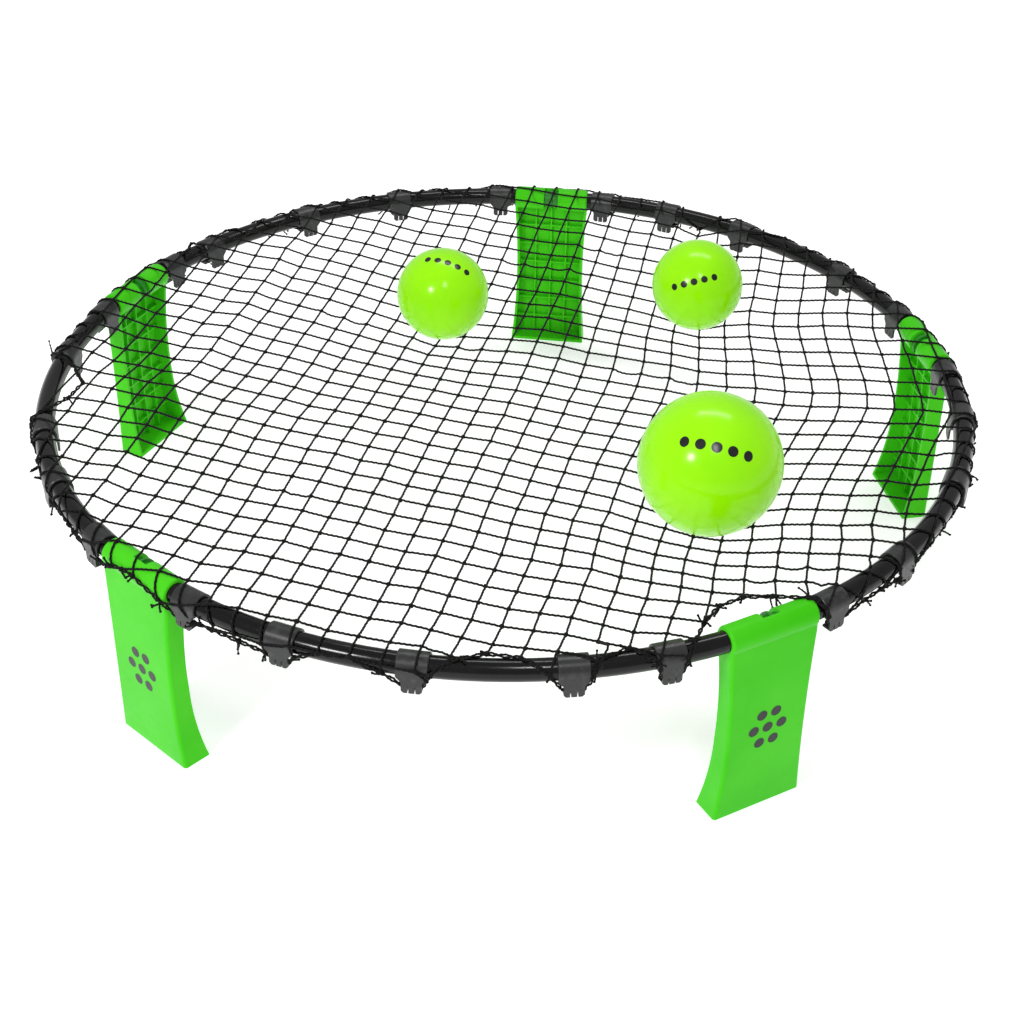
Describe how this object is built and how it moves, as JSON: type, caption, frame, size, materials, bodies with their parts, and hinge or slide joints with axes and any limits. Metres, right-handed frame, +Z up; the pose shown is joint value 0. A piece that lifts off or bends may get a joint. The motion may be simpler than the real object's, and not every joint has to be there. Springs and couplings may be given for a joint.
{
  "type": "roundnet set",
  "caption": "Round lawn-game net on a low tubular ring with folding moulded legs, edge hooks, and hollow balls resting on the net.",
  "frame": {"origin": "on the floor, below the middle of the ring", "axes": "+Z up, +Y towards the rear leg, +X to the right seen from the front, where two legs stand"},
  "size_m": [0.9199, 0.9197, 0.2903],
  "materials": {
    "leg_plastic": "satin",
    "tube_coating": "gloss",
    "joiner_plastic": "satin",
    "hook_plastic": "satin",
    "net_cord": "matte",
    "ball_rubber": "gloss",
    "valve_rubber": "satin"
  },
  "bodies": {
    "ring": {"net_hook_front_1": "hook_plastic", "net_hook_front_2": "hook_plastic", "net_hook_front_3": "hook_plastic", "net_hook_front_4": "hook_plastic", "net_hook_front_5": "hook_plastic", "net_hook_left_front_1": "hook_plastic", "net_hook_left_front_2": "hook_plastic", "net_hook_left_front_3": "hook_plastic", "net_hook_left_front_4": "hook_plastic", "net_hook_left_front_5": "hook_plastic", "net_hook_left_rear_1": "hook_plastic", "net_hook_left_rear_2": "hook_plastic", "net_hook_left_rear_3": "hook_plastic", "net_hook_left_rear_4": "hook_plastic", "net_hook_left_rear_5": "hook_plastic", "net_hook_right_front_1": "hook_plastic", "net_hook_right_front_2": "hook_plastic", "net_hook_right_front_3": "hook_plastic", "net_hook_right_front_4": "hook_plastic", "net_hook_right_front_5": "hook_plastic", "net_hook_right_rear_1": "hook_plastic", "net_hook_right_rear_2": "hook_plastic", "net_hook_right_rear_3": "hook_plastic", "net_hook_right_rear_4": "hook_plastic", "net_hook_right_rear_5": "hook_plastic", "net_middle": "net_cord", "net_side_front": "net_cord", "net_side_left_front": "net_cord", "net_side_left_rear": "net_cord", "net_side_right_front": "net_cord", "net_side_right_rear": "net_cord", "rim_tube_front": "tube_coating", "rim_tube_left_front": "tube_coating", "rim_tube_left_rear": "tube_coating", "rim_tube_right_front": "tube_coating", "rim_tube_right_rear": "tube_coating", "tube_joiner_front_left": "joiner_plastic", "tube_joiner_front_right": "joiner_plastic", "tube_joiner_left": "joiner_plastic", "tube_joiner_rear": "joiner_plastic", "tube_joiner_right": "joiner_plastic"},
    "leg_rear": {"leg_rear": "leg_plastic"},
    "leg_left": {"leg_left": "leg_plastic"},
    "leg_front_left": {"leg_front_left": "leg_plastic"},
    "leg_front_right": {"leg_front_right": "leg_plastic"},
    "leg_right": {"leg_right": "leg_plastic"},
    "small_ball_left": {"small_ball_left": "ball_rubber", "small_ball_left_valve": "valve_rubber"},
    "small_ball_right": {"small_ball_right": "ball_rubber", "small_ball_right_valve": "valve_rubber"},
    "large_ball": {"large_ball": "ball_rubber", "large_ball_valve": "valve_rubber"}
  },
  "joints": [
    {"name": "leg_rear_fold", "type": "hinge", "parent": "ring", "child": "leg_rear", "pos_m": [0, 0.4445, 0.1875], "axis": [-1, 0, 0], "range_deg": [0, 72]},
    {"name": "leg_left_fold", "type": "hinge", "parent": "ring", "child": "leg_left", "pos_m": [-0.42274, 0.13736, 0.1875], "axis": [-0.309, -0.9511, 0], "range_deg": [0, 72]},
    {"name": "leg_front_left_fold", "type": "hinge", "parent": "ring", "child": "leg_front_left", "pos_m": [-0.26127, -0.35961, 0.1875], "axis": [0.809, -0.5878, 0], "range_deg": [0, 72]},
    {"name": "leg_front_right_fold", "type": "hinge", "parent": "ring", "child": "leg_front_right", "pos_m": [0.26127, -0.35961, 0.1875], "axis": [0.809, 0.5878, 0], "range_deg": [0, 72]},
    {"name": "leg_right_fold", "type": "hinge", "parent": "ring", "child": "leg_right", "pos_m": [0.42274, 0.13736, 0.1875], "axis": [-0.309, 0.9511, 0], "range_deg": [0, 72]},
    {"name": "small_ball_left_lift", "type": "slide", "parent": "ring", "child": "small_ball_left", "axis": [0, 0, 1], "range_m": [0, 0.35]},
    {"name": "small_ball_right_lift", "type": "slide", "parent": "ring", "child": "small_ball_right", "axis": [0, 0, 1], "range_m": [0, 0.35]},
    {"name": "large_ball_lift", "type": "slide", "parent": "ring", "child": "large_ball", "axis": [0, 0, 1], "range_m": [0, 0.35]}
  ]
}
